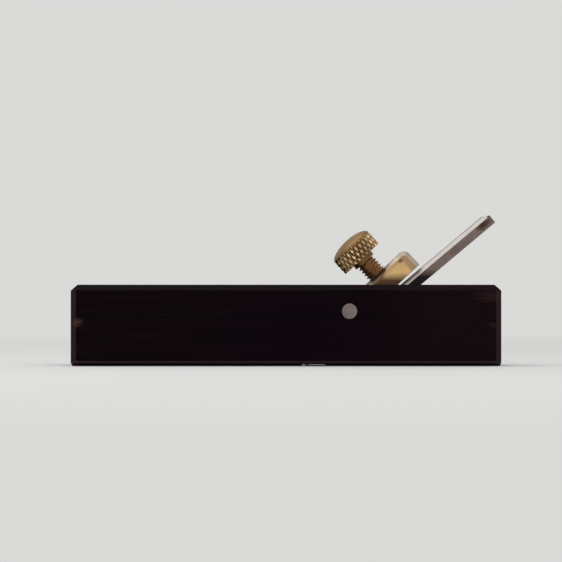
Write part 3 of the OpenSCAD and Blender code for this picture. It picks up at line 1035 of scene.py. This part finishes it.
def knob_mesh():
    """Closed skin over all the rings of the knob."""
    rings = [[point] * columns for point in LOWER_RINGS]
    rings += [band_ring(k) for k in range(BAND_ROWS + 1)]
    rings += [dome_ring(j) for j in range(1, DOME_STEPS + 1)]
    turns = [2 * math.pi * i / columns + math.radians(KNURL_TURN) for i in range(columns)]
    bm = bmesh.new()
    grid = [[bm.verts.new((r * math.cos(a), r * math.sin(a), z)) for (r, z), a in zip(ring, turns)]
            for ring in rings]
    for number, (low, high) in enumerate(zip(grid, grid[1:])):
        k = number - len(LOWER_RINGS)
        for i in range(columns):
            j = (i + 1) % columns
            quad = (low[i], low[j], high[j], high[i])
            if 0 <= k < BAND_ROWS:
                for corners in band_triangles(i, k):
                    bm.faces.new([quad[c] for c in corners])
            else:
                bm.faces.new(quad)
    for ring, height in ((grid[0], hollow_top), (grid[-1], BAND_HEIGHT + DOME_HEIGHT)):
        centre = bm.verts.new((0, 0, height))
        for i in range(columns):
            bm.faces.new((ring[i], ring[(i + 1) % columns], centre))
    bmesh.ops.recalc_face_normals(bm, faces=bm.faces)
    return bm


on_the_knob = slope_frame(on_the_screw, 0, knob_z, 0)
knob = make_piece("screw_knob", knob_mesh(), on_the_knob, "knob", "thumb_screw_knob",
                  knurl_brass)
second_finish(knob, dome_brass, on_the_knob, lambda n, p: p.z > DOME_BRASS_FROM)
# The collar and the knob's underside take the darker brass as painted shade.
second_finish(knob, shaded_collar_brass, on_the_knob, lambda n, p: p.z < COLLAR_BRASS_TO)
shade(knob, sharp_angle=24)
report(knob)

# %% [markdown]
# The plane stands on a plain pale table in pale air. A sheet that curves up behind the object would
# do, but only for one camera. Here the table is flat and wide, and where no shadow reaches it fades
# to the tone of the air, so no horizon shows from any side. Light Path tells the two uses of the
# world apart: what the camera and the metal see is the pale tone, and what lights the wood is dimmer.

# %% Pale table and air
AIR_TONE = (0.70, 0.70, 0.69)
PAPER_DARK, PAPER_PALE = (0.785, 0.785, 0.775), (0.805, 0.805, 0.795)
TABLE_RADIUS, TABLE_SIDES = 40, 64
FADE_FROM, FADE_TO = 0.22, 0.75


def seen_directly(kit):
    """1 for camera, glossy and transmission rays, 0 for the rays that only carry light."""
    path = kit.nodes.new("ShaderNodeLightPath")
    first = kit.maths("MAXIMUM", path.outputs["Is Camera Ray"], path.outputs["Is Glossy Ray"])
    return kit.maths("MAXIMUM", first, path.outputs["Is Transmission Ray"])


def paper_finish():
    """Fine paper that turns into plain air far from the object."""
    paper = Finish("pale_paper")
    fibres = paper.noise(paper.place, 600, detail=3)
    paper.give(Base_Color=paper.ramp(fibres, (0.3, PAPER_DARK), (0.7, PAPER_PALE)),
               Roughness=0.9, Specular_IOR_Level=0.1)
    air = paper.nodes.new("ShaderNodeEmission")
    air.inputs["Color"].default_value = (*AIR_TONE, 1)
    blend = paper.nodes.new("ShaderNodeMixShader")
    far = paper.between(paper.length(paper.place), FADE_FROM, FADE_TO)
    paper.join(paper.maths("MULTIPLY", far, seen_directly(paper)), blend.inputs["Fac"])
    paper.join(paper.shader.outputs["BSDF"], blend.inputs[1])
    paper.join(air.outputs["Emission"], blend.inputs[2])
    paper.join(blend.outputs["Shader"], paper.nodes["Material Output"].inputs["Surface"])
    return paper.material


table_mesh = bmesh.new()
bmesh.ops.create_circle(table_mesh, cap_ends=True, radius=TABLE_RADIUS, segments=TABLE_SIDES)
table = as_object("pale_table", table_mesh, Matrix.Identity(4))
table.data.materials.append(paper_finish())
print("table", 2 * TABLE_RADIUS, "m wide, fading from", FADE_FROM, "m")

# %% [markdown]
# The light is a plain studio: one wide soft box overhead, drawn out along the plane, a little in
# front of it and towards the toe, in dim air. It is wide enough for the filed chamfers to mirror some
# part of it towards the camera, so they shine while the sides stay quiet, as in the photograph. Two
# separate lamps would leave the rounded corner of the lever cap dark between them.

# %% Lamps and world
LAMP_PLACE, LAMP_AIM = Vector((-0.16, -0.25, 0.92)), Vector((0.02, 0, 0.03))
LAMP_LENGTH, LAMP_WIDTH, LAMP_POWER = 2.0, 0.9, 6.6
WORLD_LIGHT = 0.74

lamp_data = bpy.data.lights.new("overhead_box", "AREA")
lamp_data.shape = "RECTANGLE"
lamp_data.size = LAMP_LENGTH
lamp_data.size_y = LAMP_WIDTH
lamp_data.energy = LAMP_POWER
lamp = bpy.data.objects.new("overhead_box", lamp_data)
lamp.location = LAMP_PLACE
lamp.rotation_euler = (LAMP_AIM - LAMP_PLACE).to_track_quat("-Z", "Y").to_euler()
bpy.context.scene.collection.objects.link(lamp)

world = bpy.data.worlds.new("studio_air")
world.use_nodes = True
air_kit = NodeKit(world.node_tree)
background = air_kit.nodes["Background"]
background.inputs["Color"].default_value = (*AIR_TONE, 1)
air_kit.join(air_kit.between(seen_directly(air_kit), 0, 1, WORLD_LIGHT, 1), background.inputs["Strength"])
bpy.context.scene.world = world
bpy.context.scene.view_settings.view_transform = "Standard"
print("lamp:", lamp.name, round(lamp_data.energy, 1), "W")
